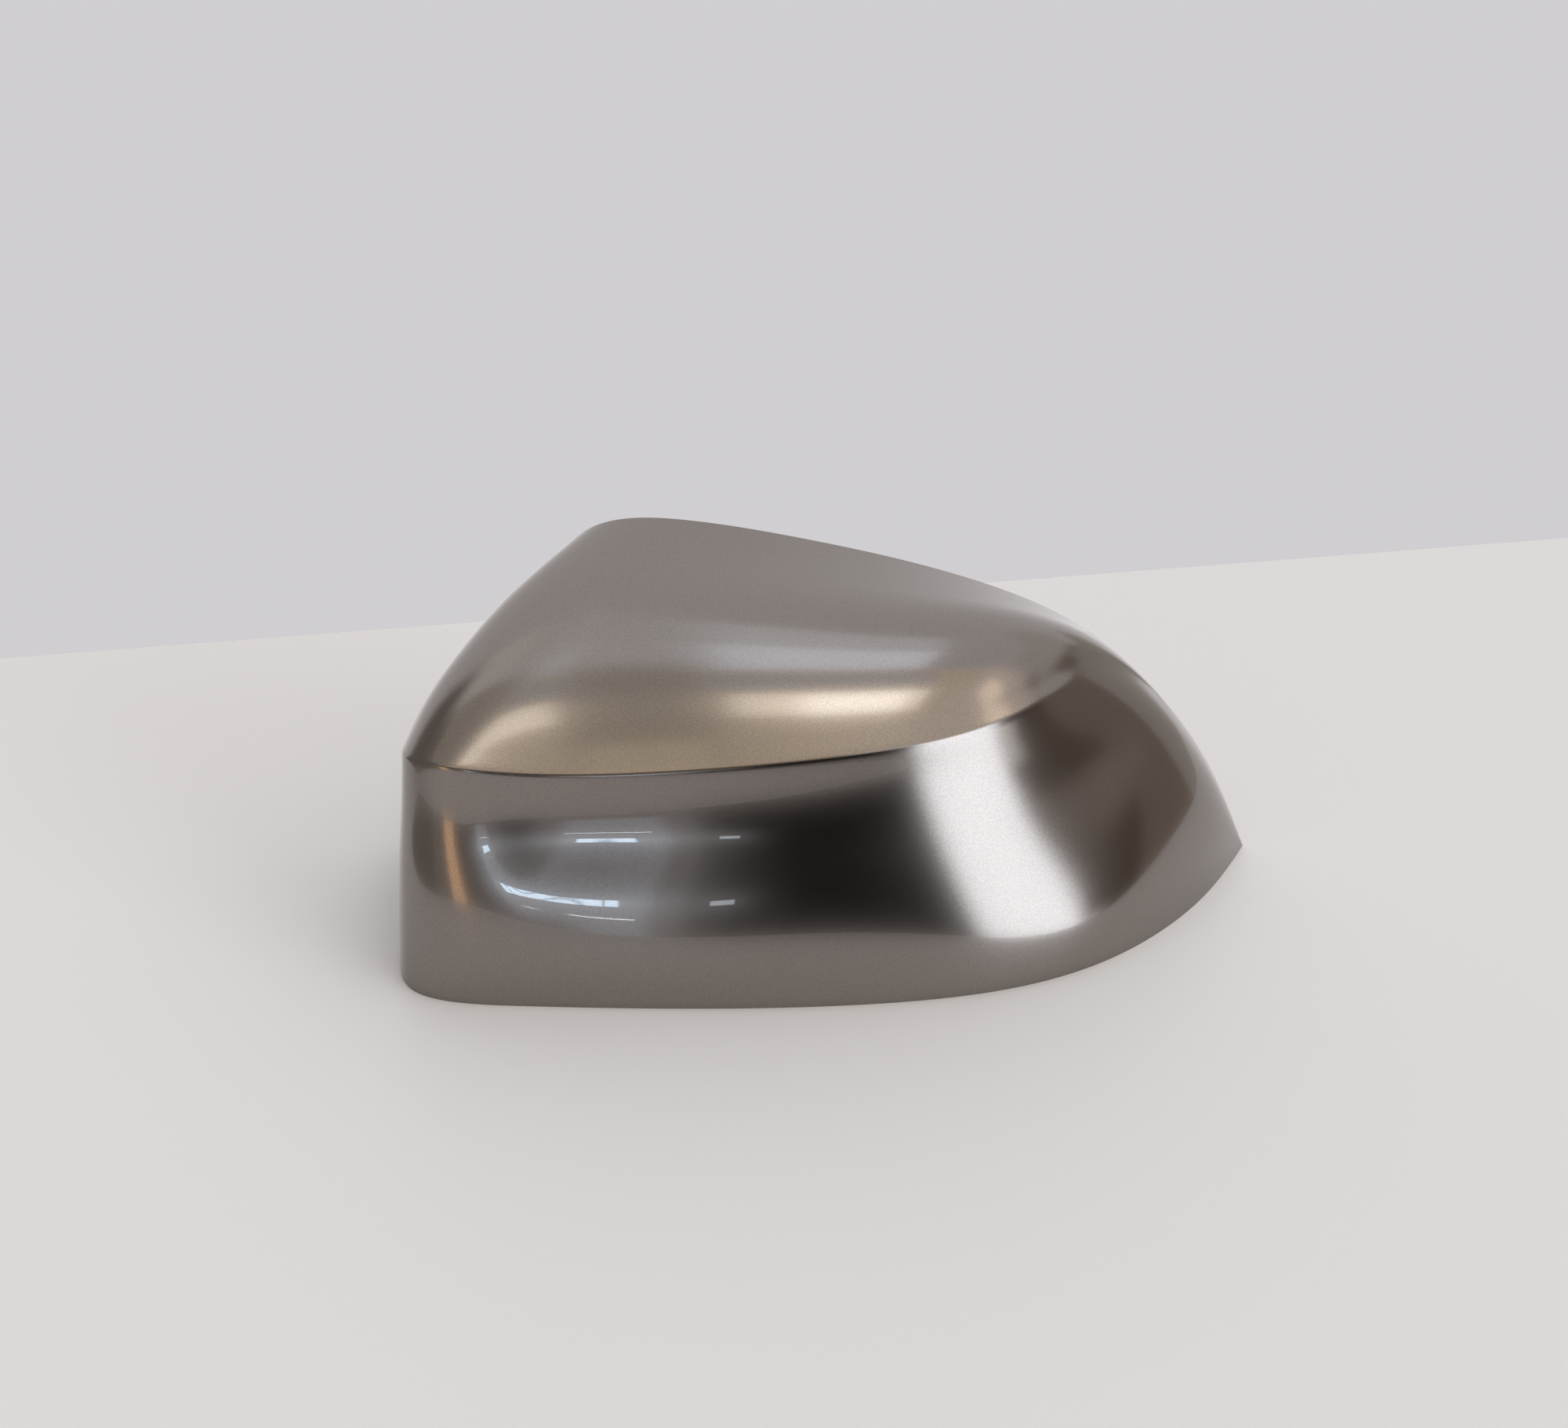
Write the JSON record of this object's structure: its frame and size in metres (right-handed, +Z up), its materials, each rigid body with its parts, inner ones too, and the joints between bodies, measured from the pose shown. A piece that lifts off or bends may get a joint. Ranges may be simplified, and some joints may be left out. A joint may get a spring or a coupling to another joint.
{
  "type": "wing mirror cover cap",
  "caption": "Left-hand wing mirror cover: a thin painted shell with a ridge along its front, open at the back and below, with snap hooks and locating posts inside.",
  "frame": {"origin": "centre of the bounding box in X and Y, at the lower edge on which the shell stands", "axes": "+X towards the outer tip, +Y back towards the open glass side, +Z up from the lower edge to the crown"},
  "size_m": [0.2396, 0.0924, 0.1029],
  "materials": {
    "painted_shell": "bronze-grey metallic paint under a glossy clear coat, on moulded plastic",
    "bare_plastic": "unpainted dark plastic inside the shell, with a little overspray near its edges"
  },
  "bodies": {
    "root": {"mirror_cap": "painted_shell"}
  },
  "joints": []
}
